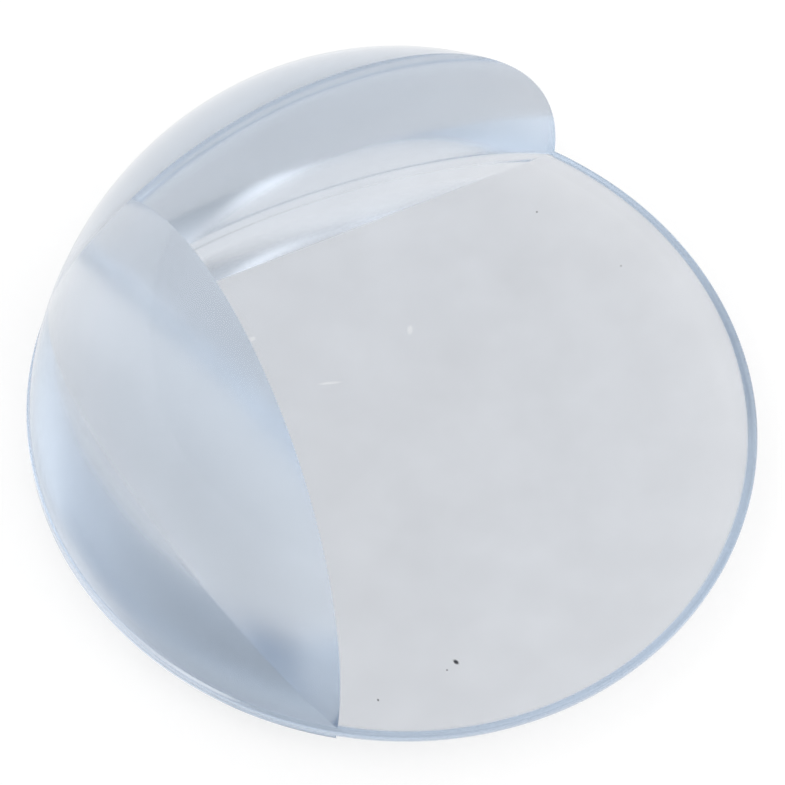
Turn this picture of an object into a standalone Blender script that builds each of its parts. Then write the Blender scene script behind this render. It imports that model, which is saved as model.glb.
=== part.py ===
"""Clear push-on corner guard for a table or cabinet corner, moulded in one piece of soft PVC.

A round plate lies on the furniture's top: flat and crisp-edged where it is stuck down, domed outside
around a flat middle, with a well rounded rim. A swelling wall stands on the plate around two sides
of a square notch that the furniture's corner fills. The notch's two flat faces lean in a little, so
that the soft wall grips, and outside them the wall is one egg-shaped dome. The part rests here on the
flat middle of its outer face, with the wall standing up, the plate's centre line on Z, one notch face
towards +X and the other towards -Y. Lengths are in metres.
"""

import math

import bpy

# Plate
PLATE_RADIUS = 0.0200          # to the outermost line of the rim
FACE_ROUNDING = 0.0002         # rim's rounding beside the flat face
OUTER_ROUNDING = 0.0015        # rim's rounding beside the outer face
OUTER_RADIUS = 0.0420          # of the outer face's arc from its flat middle up to the rim
REST_RADIUS = 0.0090           # of the flat middle of the outer face

# Wall
DOME_RADIUS = 0.0199           # at the dome's widest level
DOME_SEMI_HEIGHT = 0.0231      # from the widest level to where the whole dome would close
DOME_DROP = 0.0010             # how far the widest level lies below the plate's flat face
SIDE_OFFSET = 0.0114           # centre line to the foot of the notch face that looks to +X
BACK_OFFSET = 0.0119           # centre line to the foot of the notch face that looks to -Y
NOTCH_LEAN = math.radians(1.7)  # both notch faces, inwards over their height

# Fineness of the faceted surfaces
TURN_STEPS = 112
FACE_EDGE_STEPS = 3
RIM_STEPS = 7
OUTER_STEPS = 7
DOME_STEPS = 26

# Clear PVC with a trace of grey-blue
PVC_COLOUR = (0.80, 0.84, 0.88, 1.0)
PVC_ROUGHNESS = 0.15
PVC_IOR = 1.53

PART_NAME = "corner_guard"
BEAD_RADIUS = PLATE_RADIUS - OUTER_ROUNDING    # centre line to the centre of the rim's outer rounding
BEAD_REACH = OUTER_RADIUS - OUTER_ROUNDING     # that centre to the centre of the outer face's arc
RIM_SLOPE = math.asin((BEAD_RADIUS - REST_RADIUS) / BEAD_REACH)   # of the outer face beside the rim
BEAD_LEVEL = OUTER_RADIUS - BEAD_REACH * math.cos(RIM_SLOPE)
FACE_LEVEL = BEAD_LEVEL + FACE_ROUNDING        # height of the plate's flat face
CUTTER_MARGIN = 0.004                          # how far a cutter reaches past what it cuts


def clear_scene():
    for old in list(bpy.data.objects):
        bpy.data.objects.remove(old, do_unlink=True)


def make_collection(name):
    collection = bpy.data.collections.new(name)
    bpy.context.scene.collection.children.link(collection)
    return collection


def arc_points(centre, radius, start, end, steps):
    """Points on a circle's arc in the profile plane, from one angle to another, both ends included."""
    points = []
    for i in range(steps + 1):
        angle = start + (end - start) * i / steps
        points.append((centre[0] + radius * math.cos(angle), centre[1] + radius * math.sin(angle)))
    return points


def turned_solid(name, profile, collection):
    """A solid of revolution about Z from (radius, height) points that run down its outer side."""
    mesh = bpy.data.meshes.new(name)
    mesh.from_pydata([(r, 0.0, z) for r, z in profile], [(i, i + 1) for i in range(len(profile) - 1)], [])
    solid = bpy.data.objects.new(name, mesh)
    collection.objects.link(solid)
    screw = solid.modifiers.new("turn", "SCREW")
    screw.axis = "Z"
    screw.angle = 2.0 * math.pi
    screw.steps = TURN_STEPS
    screw.render_steps = TURN_STEPS
    screw.use_merge_vertices = True
    screw.merge_threshold = 0.000001
    return solid


def plate_profile():
    """The plate's half section: flat face, rounded rim, domed outer face and its flat middle."""
    quarter = 0.5 * math.pi
    edge_radius = PLATE_RADIUS - FACE_ROUNDING
    upper = arc_points((edge_radius, BEAD_LEVEL), FACE_ROUNDING, quarter, 0.0, FACE_EDGE_STEPS)
    lower = arc_points((BEAD_RADIUS, BEAD_LEVEL), OUTER_ROUNDING, 0.0, RIM_SLOPE - quarter, RIM_STEPS)
    outer = arc_points((REST_RADIUS, OUTER_RADIUS), OUTER_RADIUS, RIM_SLOPE - quarter, -quarter, OUTER_STEPS)
    outer[-1] = (REST_RADIUS, 0.0)
    return [(0.0, FACE_LEVEL)] + upper + lower[1:] + outer[1:] + [(0.0, 0.0)]


def dome_profile():
    """The dome's half section, from its pole down into the rim."""
    centre = FACE_LEVEL - DOME_DROP
    points = []
    for i in range(DOME_STEPS + 1):
        angle = 0.5 * math.pi * (1.0 - i / DOME_STEPS)
        points.append((DOME_RADIUS * math.cos(angle), centre + DOME_SEMI_HEIGHT * math.sin(angle)))
    points[0] = (0.0, points[0][1])
    return points + [(0.0, centre)]


def notch_cutter(collection):
    """The block that the furniture's corner fills, its two faces leaning from their feet on the plate."""
    reach = PLATE_RADIUS + CUTTER_MARGIN
    low = (-SIDE_OFFSET, -reach, FACE_LEVEL - DOME_DROP - CUTTER_MARGIN)
    high = (reach, BACK_OFFSET, FACE_LEVEL + DOME_SEMI_HEIGHT + CUTTER_MARGIN)
    middle = [(high[k] + low[k]) / 2.0 for k in range(3)]
    bpy.ops.mesh.primitive_cube_add(size=1.0, location=middle)
    cutter = bpy.context.active_object
    cutter.name = "notch_cutter"
    cutter.scale = [high[k] - low[k] for k in range(3)]
    bpy.ops.object.transform_apply(location=True, rotation=True, scale=True)
    for vertex in cutter.data.vertices:
        shift = math.tan(NOTCH_LEAN) * (vertex.co.z - FACE_LEVEL)
        if vertex.co.x < 0.0:
            vertex.co.x += shift
        if vertex.co.y > 0.0:
            vertex.co.y -= shift
    for holder in list(cutter.users_collection):
        holder.objects.unlink(cutter)
    collection.objects.link(cutter)
    cutter.display_type = "WIRE"
    cutter.hide_render = True
    return cutter


def add_boolean(target, tool, operation):
    boolean = target.modifiers.new(tool.name, "BOOLEAN")
    boolean.operation = operation
    boolean.solver = "EXACT"
    boolean.object = tool


def clear_pvc():
    material = bpy.data.materials.new("clear_pvc")
    material.use_nodes = True
    shader = material.node_tree.nodes["Principled BSDF"]
    shader.inputs["Base Color"].default_value = PVC_COLOUR
    shader.inputs["Roughness"].default_value = PVC_ROUGHNESS
    shader.inputs["Metallic"].default_value = 0.0
    shader.inputs["IOR"].default_value = PVC_IOR
    shader.inputs["Transmission Weight"].default_value = 1.0
    return material


def build_guard():
    parts = make_collection(PART_NAME + "_parts")
    cutters = make_collection(PART_NAME + "_cutters")
    guard = turned_solid(PART_NAME, plate_profile(), parts)
    dome = turned_solid("dome_wall", dome_profile(), cutters)
    dome.display_type = "WIRE"
    dome.hide_render = True
    add_boolean(dome, notch_cutter(cutters), "DIFFERENCE")
    add_boolean(guard, dome, "UNION")
    guard.data.materials.append(clear_pvc())
    return guard


def main():
    clear_scene()
    build_guard()


main()
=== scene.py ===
import math

import bmesh
import bpy
from mathutils import Matrix, Vector


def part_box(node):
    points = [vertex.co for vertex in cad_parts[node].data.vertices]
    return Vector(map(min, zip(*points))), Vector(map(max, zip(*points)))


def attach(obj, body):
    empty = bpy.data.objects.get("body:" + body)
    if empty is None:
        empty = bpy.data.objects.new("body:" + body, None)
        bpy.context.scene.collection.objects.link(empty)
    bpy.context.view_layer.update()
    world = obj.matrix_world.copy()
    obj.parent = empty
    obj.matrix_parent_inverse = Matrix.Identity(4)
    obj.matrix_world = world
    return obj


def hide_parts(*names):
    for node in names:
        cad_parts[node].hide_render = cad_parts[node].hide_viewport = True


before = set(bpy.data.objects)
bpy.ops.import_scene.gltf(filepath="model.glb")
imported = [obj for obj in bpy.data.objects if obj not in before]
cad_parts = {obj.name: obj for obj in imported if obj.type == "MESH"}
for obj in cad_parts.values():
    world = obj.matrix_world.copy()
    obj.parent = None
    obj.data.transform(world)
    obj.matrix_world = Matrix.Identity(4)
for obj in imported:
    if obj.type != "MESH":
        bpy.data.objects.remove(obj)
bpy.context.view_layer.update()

mm = 0.001

lowCorner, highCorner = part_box("corner_guard")
plateRadius = (highCorner[0] - lowCorner[0]) / 2

# The guard: one clear moulding, a round plate with a swelling wall round two sides of a square notch
guardShape = {
    "faceRounding": 0.2 * mm,     # rim beside the flat face
    "outerRounding": 1.5 * mm,    # rim beside the outer face, which lies on the floor
    "restRadius": 9.0 * mm,       # flat middle of the outer face
    "outerRadius": 42.0 * mm,     # outer face from its flat middle up to the rim
    "domeRadius": 19.9 * mm,
    "domeHeight": 23.1 * mm,      # widest level to the pole that the notch cuts away
    "domeDrop": 1.0 * mm,         # widest level below the flat face
    "sideFoot": 11.4 * mm,        # centre line to the foot of the notch face towards +X
    "backFoot": 11.9 * mm,        # centre line to the foot of the notch face towards -Y
    "notchLean": math.radians(1.7),
    "margin": 4.0 * mm,           # how far the cutting block stands past the dome
    "weld": 0.001 * mm,           # points nearer than this become one
    "turnSteps": 256,
    "rimSteps": 10,
    "bulgeSteps": 32,
    "smoothUnder": math.radians(25),
}
beadRadius = plateRadius - guardShape["outerRounding"]
beadReach = guardShape["outerRadius"] - guardShape["outerRounding"]
rimSlope = math.asin((beadRadius - guardShape["restRadius"]) / beadReach)
beadLevel = guardShape["outerRadius"] - beadReach * math.cos(rimSlope)
faceLevel = beadLevel + guardShape["faceRounding"]


def onlySelect(piece):
    bpy.ops.object.select_all(action="DESELECT")
    piece.select_set(True)
    bpy.context.view_layer.objects.active = piece


def startShaping(piece, kind):
    onlySelect(piece)
    bpy.ops.object.mode_set(mode="EDIT")
    bpy.ops.mesh.select_mode(type=kind)
    bpy.ops.mesh.select_all(action="DESELECT")


def selectVertices(piece, wanted):
    shape = bmesh.from_edit_mesh(piece.data)
    bpy.ops.mesh.select_all(action="DESELECT")
    for vertex in shape.verts:
        if wanted(vertex.co):
            vertex.select_set(True)
    shape.select_flush(True)
    bmesh.update_edit_mesh(piece.data)


def endShaping():
    bpy.ops.object.mode_set(mode="OBJECT")


def turnPlate():
    g = guardShape
    quarter = math.pi / 2
    bpy.ops.mesh.primitive_plane_add(size=mm, location=(0, 0, faceLevel))   # any size, it shrinks to a point
    plate = bpy.context.active_object
    plate.name = "guard"
    bpy.ops.object.transform_apply(location=True, rotation=True, scale=True)
    startShaping(plate, "VERT")
    bpy.ops.mesh.select_all(action="SELECT")
    bpy.ops.mesh.merge(type="CENTER")   # one point to draw the half section with
    faceRadius = plateRadius - g["faceRounding"]
    bpy.ops.mesh.extrude_vertices_move(TRANSFORM_OT_translate={"value": (faceRadius, 0, 0)})
    sweeps = (((faceRadius, 0, beadLevel), quarter, g["rimSteps"]),
              ((beadRadius, 0, beadLevel), quarter - rimSlope, g["rimSteps"]),
              ((g["restRadius"], 0, g["outerRadius"]), rimSlope, g["bulgeSteps"]))
    for centre, angle, steps in sweeps:
        bpy.ops.mesh.spin(steps=steps, angle=angle, center=centre, axis=(0, -1, 0))
    bpy.ops.mesh.extrude_vertices_move(TRANSFORM_OT_translate={"value": (-g["restRadius"], 0, 0)})
    bpy.ops.mesh.select_all(action="SELECT")
    bpy.ops.mesh.spin(steps=g["turnSteps"], angle=2 * math.pi, center=(0, 0, 0), axis=(0, 0, 1))
    bpy.ops.mesh.select_all(action="SELECT")
    bpy.ops.mesh.remove_doubles(threshold=g["weld"])
    bpy.ops.mesh.normals_make_consistent(inside=False)
    endShaping()
    return plate


def raiseDome():
    g = guardShape
    widest = faceLevel - g["domeDrop"]
    bpy.ops.mesh.primitive_uv_sphere_add(segments=g["turnSteps"], ring_count=g["turnSteps"] // 2,
                                         radius=g["domeRadius"], location=(0, 0, 0))
    dome = bpy.context.active_object
    startShaping(dome, "VERT")
    bpy.ops.mesh.select_all(action="SELECT")
    bpy.ops.transform.resize(value=(1, 1, g["domeHeight"] / g["domeRadius"]), center_override=(0, 0, 0))
    bpy.ops.transform.translate(value=(0, 0, widest))
    bpy.ops.mesh.bisect(plane_co=(0, 0, widest), plane_no=(0, 0, 1), use_fill=True, clear_inner=True)
    endShaping()
    return dome


def boxBlock(low, high):
    middle = [(a + b) / 2 for a, b in zip(low, high)]
    bpy.ops.mesh.primitive_cube_add(size=1, location=middle)
    block = bpy.context.active_object
    block.scale = [b - a for a, b in zip(low, high)]
    bpy.ops.object.transform_apply(location=True, rotation=True, scale=True)
    return block


def notchBlock():
    g = guardShape
    reach = plateRadius + g["margin"]
    bottom = faceLevel - g["domeDrop"] - g["margin"]
    top = faceLevel + g["domeHeight"] + g["margin"]
    block = boxBlock((-g["sideFoot"], -reach, bottom), (reach, g["backFoot"], top))
    startShaping(block, "VERT")
    for level in (bottom, top):       # both faces lean about their feet on the plate
        lean = math.tan(g["notchLean"]) * (level - faceLevel)
        selectVertices(block, lambda co: co.x < 0 and abs(co.z - level) < mm)
        bpy.ops.transform.translate(value=(lean, 0, 0))
        selectVertices(block, lambda co: co.y > 0 and abs(co.z - level) < mm)
        bpy.ops.transform.translate(value=(0, -lean, 0))
    endShaping()
    return block


def joinShapes(target, tool, operation):
    onlySelect(target)
    change = target.modifiers.new(operation.lower(), "BOOLEAN")
    change.operation = operation
    change.solver = "MANIFOLD"
    change.object = tool
    bpy.ops.object.modifier_apply(modifier=change.name)
    bpy.data.objects.remove(tool, do_unlink=True)


def mouldGuard():
    guard = turnPlate()
    dome = raiseDome()
    joinShapes(dome, notchBlock(), "DIFFERENCE")
    joinShapes(guard, dome, "UNION")
    onlySelect(guard)
    bpy.ops.object.shade_smooth_by_angle(angle=guardShape["smoothUnder"])
    return guard


# Clear soft plastic
pvcLook = {
    "colour": (0.805, 0.82, 0.85),
    "roughness": 0.12,
    "ior": 1.42,
    "depthColour": (0.69, 0.79, 0.89),   # what a long way through the plastic leaves
    "depthDensity": 36,
    "cloud": 0.08,                # faint patches in the plastic's colour
    "cloudScale": 260,
    "cloudDetail": 3,
    "waveScale": 190,             # slow waves of the moulded skin
    "waveDetail": 1,
    "waveHeight": 0.02 * mm,
}

# Dust and light scratches on the plate's face: across, along, half length, half width in mm, turn in degrees
specks = {
    "black speck": (-3.72, -15.19, 0.13, 0.20, 20),
    "grey speck": (-4.39, -15.44, 0.05, 0.05, 0),
    "low speck": (-8.62, -15.59, 0.05, 0.08, 0),
    "high speck": (13.25, 8.76, 0.05, 0.05, 0),
    "right speck": (15.91, 3.72, 0.04, 0.04, 0),
}
scratches = {
    "tick": (-2.12, 3.46, 0.62, 0.09, -18),
    "nick": (3.41, 4.74, 0.30, 0.16, 60),
    "edge nick": (-4.78, 7.75, 0.22, 0.14, 0),
}
markLook = {
    "depth": 0.3 * mm,            # above and below the face
    "clearFrom": 1.2,             # in the mark's own radius, where its soft edge ends
    "solidTo": 0.6,               # and where it starts
    "dustColour": (0.004, 0.004, 0.006),
    "scratchColour": (1.0, 1.0, 1.0),
}


def largerOf(nodes, links, first, second):
    if first is None:
        return second
    larger = nodes.new("ShaderNodeMath")
    larger.operation = "MAXIMUM"
    links.new(first, larger.inputs[0])
    links.new(second, larger.inputs[1])
    return larger.outputs["Value"]


def markMask(nodes, links, place, marks):
    whole = None
    for x, y, halfLength, halfWidth, turn in marks.values():
        spot = nodes.new("ShaderNodeMapping")
        spot.vector_type = "TEXTURE"      # the mark becomes a ball of radius 1 round its place
        spot.inputs["Location"].default_value = (x * mm, y * mm, faceLevel)
        spot.inputs["Rotation"].default_value = (0, 0, math.radians(turn))
        spot.inputs["Scale"].default_value = (halfLength * mm, halfWidth * mm, markLook["depth"])
        links.new(place, spot.inputs["Vector"])
        reach = nodes.new("ShaderNodeVectorMath")
        reach.operation = "LENGTH"
        links.new(spot.outputs["Vector"], reach.inputs[0])
        soft = nodes.new("ShaderNodeMapRange")
        soft.inputs["From Min"].default_value = markLook["clearFrom"]
        soft.inputs["From Max"].default_value = markLook["solidTo"]
        links.new(reach.outputs["Value"], soft.inputs["Value"])
        whole = largerOf(nodes, links, whole, soft.outputs["Result"])
    return whole


def mixColours(nodes, links, factor, low, high):
    mix = nodes.new("ShaderNodeMix")
    mix.data_type = "RGBA"            # its colours are sockets 6 and 7, and 2 on the way out
    links.new(factor, mix.inputs["Factor"])
    if isinstance(low, tuple):
        mix.inputs[6].default_value = (*low, 1)
    else:
        links.new(low, mix.inputs[6])
    mix.inputs[7].default_value = (*high, 1)
    return mix.outputs[2]


def clearPvc():
    material = bpy.data.materials.new("clear pvc")
    material.use_nodes = True
    nodes = material.node_tree.nodes
    links = material.node_tree.links
    shader = nodes["Principled BSDF"]
    place = nodes.new("ShaderNodeTexCoord").outputs["Object"]
    cloud = nodes.new("ShaderNodeTexNoise")
    cloud.inputs["Scale"].default_value = pvcLook["cloudScale"]
    cloud.inputs["Detail"].default_value = pvcLook["cloudDetail"]
    links.new(place, cloud.inputs["Vector"])
    darker = tuple(part * (1 - pvcLook["cloud"]) for part in pvcLook["colour"])
    lighter = tuple(part * (1 + pvcLook["cloud"]) for part in pvcLook["colour"])
    colour = mixColours(nodes, links, cloud.outputs["Fac"], darker, lighter)
    for marks, tint in ((scratches, markLook["scratchColour"]), (specks, markLook["dustColour"])):
        colour = mixColours(nodes, links, markMask(nodes, links, place, marks), colour, tint)
    links.new(colour, shader.inputs["Base Color"])
    wave = nodes.new("ShaderNodeTexNoise")
    wave.inputs["Scale"].default_value = pvcLook["waveScale"]
    wave.inputs["Detail"].default_value = pvcLook["waveDetail"]
    links.new(place, wave.inputs["Vector"])
    skin = nodes.new("ShaderNodeBump")
    skin.inputs["Distance"].default_value = pvcLook["waveHeight"]
    links.new(wave.outputs["Fac"], skin.inputs["Height"])
    links.new(skin.outputs["Normal"], shader.inputs["Normal"])
    shader.inputs["Roughness"].default_value = pvcLook["roughness"]
    shader.inputs["IOR"].default_value = pvcLook["ior"]
    shader.inputs["Transmission Weight"].default_value = 1
    depth = nodes.new("ShaderNodeVolumeAbsorption")
    depth.inputs["Color"].default_value = (*pvcLook["depthColour"], 1)
    depth.inputs["Density"].default_value = pvcLook["depthDensity"]
    links.new(depth.outputs["Volume"], nodes["Material Output"].inputs["Volume"])
    return material


# White floor
floorLook = {
    "size": 3.0,                  # far past anything the camera sees
    "colour": (0.4, 0.4, 0.4),
    "ownGlow": 0.66,              # makes the floor white to the camera, and seen in or through the guard
    "gap": 0.02 * mm,             # under the guard
}


def whiteFloor():
    bpy.ops.mesh.primitive_plane_add(size=floorLook["size"], location=(0, 0, -floorLook["gap"]))
    floor = bpy.context.active_object
    floor.name = "floor"
    material = bpy.data.materials.new("white floor")
    material.use_nodes = True
    nodes = material.node_tree.nodes
    links = material.node_tree.links
    shader = nodes["Principled BSDF"]
    shader.inputs["Base Color"].default_value = (*floorLook["colour"], 1)
    shader.inputs["Roughness"].default_value = 1
    shader.inputs["Specular IOR Level"].default_value = 0
    shader.inputs["Emission Color"].default_value = (1, 1, 1, 1)
    rays = nodes.new("ShaderNodeLightPath")
    seen = None
    for name in ("Is Camera Ray", "Is Glossy Ray", "Is Transmission Ray"):
        seen = largerOf(nodes, links, seen, rays.outputs[name])
    glow = nodes.new("ShaderNodeMath")
    glow.operation = "MULTIPLY"
    glow.inputs[1].default_value = floorLook["ownGlow"]
    links.new(seen, glow.inputs[0])
    links.new(glow.outputs["Value"], shader.inputs["Emission Strength"])
    floor.data.materials.append(material)


# Soft studio light
studio = {
    "strength": 0.95,
    "sky": ((0.0, 0.5), (0.25, 0.7), (0.7, 0.78), (1.0, 0.74)),   # height on the sky, grey
    "panels": {                   # soft areas on the sky: compass angle, height, tightness, extra light
        "window": (2, 13, 10, 1.3),
        "side": (50, 14, 10, 0.6),
        "front": (222, 32, 6, 0.8),
        "back": (118, 44, 5, 0.6),
        "lamp": (300, 54, 16, 0.95),
        "dim corner": (30, 62, 5, -0.3),
    },
    "bounces": 24,                # light that stays trapped in the plate finds its way out
}


def studioSky():
    world = bpy.data.worlds.new("studio")
    bpy.context.scene.world = world
    world.use_nodes = True
    nodes = world.node_tree.nodes
    links = world.node_tree.links
    direction = nodes.new("ShaderNodeTexCoord")
    axes = nodes.new("ShaderNodeSeparateXYZ")
    links.new(direction.outputs["Generated"], axes.inputs["Vector"])
    ramp = nodes.new("ShaderNodeValToRGB")
    links.new(axes.outputs["Z"], ramp.inputs["Fac"])
    stops = ramp.color_ramp.elements
    while len(stops) < len(studio["sky"]):
        stops.new(0.5)
    for stop, (place, grey) in zip(stops, studio["sky"]):
        stop.position = place
        stop.color = (grey, grey, grey, 1)
    light = ramp.outputs["Color"]
    for compass, height, tightness, extra in studio["panels"].values():
        around, above = math.radians(compass), math.radians(height)
        facing = nodes.new("ShaderNodeVectorMath")
        facing.operation = "DOT_PRODUCT"
        facing.inputs[1].default_value = (math.cos(around) * math.cos(above),
                                          math.sin(around) * math.cos(above), math.sin(above))
        links.new(direction.outputs["Generated"], facing.inputs[0])
        front = nodes.new("ShaderNodeMath")
        front.operation = "MAXIMUM"
        front.inputs[1].default_value = 0
        links.new(facing.outputs["Value"], front.inputs[0])
        fall = nodes.new("ShaderNodeMath")
        fall.operation = "POWER"
        fall.inputs[1].default_value = tightness
        links.new(front.outputs["Value"], fall.inputs[0])
        added = nodes.new("ShaderNodeMath")
        added.operation = "MULTIPLY_ADD"
        added.inputs[1].default_value = extra
        links.new(fall.outputs["Value"], added.inputs[0])
        links.new(light, added.inputs[2])
        light = added.outputs["Value"]
    sky = nodes["Background"]
    links.new(light, sky.inputs["Color"])
    sky.inputs["Strength"].default_value = studio["strength"]
    world.cycles.sampling_method = "NONE"   # so soft a sky needs no aimed rays, and renders faster
    cycles = bpy.context.scene.cycles
    cycles.max_bounces = cycles.transmission_bounces = cycles.glossy_bounces = studio["bounces"]


# The photograph's view
view = {
    "elevation": math.radians(58.06),
    "azimuth": math.radians(-32.51),
    "roll": math.radians(7.2),
    "aimRight": -0.0007,          # of the plate's radius, from the middle of its face
    "aimUp": 0.0719,
    "distance": 0.667,
    "radiusPixels": 366.47,       # plate's radius at the middle of its face
    "picturePixels": 785,
    "sensor": 36,
    "farLimit": 100,
}


def placeCamera():
    v = view
    back = Vector((math.sin(v["azimuth"]) * math.cos(v["elevation"]),
                   -math.cos(v["azimuth"]) * math.cos(v["elevation"]),
                   math.sin(v["elevation"])))
    levelRight = Vector((math.cos(v["azimuth"]), math.sin(v["azimuth"]), 0))
    levelUp = back.cross(levelRight)
    right = math.cos(v["roll"]) * levelRight + math.sin(v["roll"]) * levelUp
    up = -math.sin(v["roll"]) * levelRight + math.cos(v["roll"]) * levelUp
    aim = plateRadius * (v["aimRight"] * right + v["aimUp"] * up) + Vector((0, 0, faceLevel))
    place = aim + back * v["distance"]
    data = bpy.data.cameras.new("camera")
    pictureWidth = v["picturePixels"] / v["radiusPixels"] * plateRadius
    data.sensor_width = v["sensor"]
    data.lens = v["sensor"] * v["distance"] / pictureWidth
    data.clip_end = v["farLimit"]
    camera = bpy.data.objects.new("camera", data)
    bpy.context.scene.collection.objects.link(camera)
    camera.matrix_world = Matrix(((right.x, up.x, back.x, place.x), (right.y, up.y, back.y, place.y),
                                  (right.z, up.z, back.z, place.z), (0, 0, 0, 1)))
    bpy.context.scene.camera = camera
    bpy.context.scene.view_settings.view_transform = "Standard"


def main():
    guard = mouldGuard()
    print("guard moulded,", len(guard.data.vertices), "vertices")
    guard.data.materials.clear()
    guard.data.materials.append(clearPvc())
    print("clear plastic made,", len(specks) + len(scratches), "marks on it")
    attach(guard, "root")
    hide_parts("corner_guard")
    whiteFloor()
    print("floor laid")
    studioSky()
    print("studio lit,", len(studio["panels"]), "soft areas")
    placeCamera()
    print("camera placed")


main()
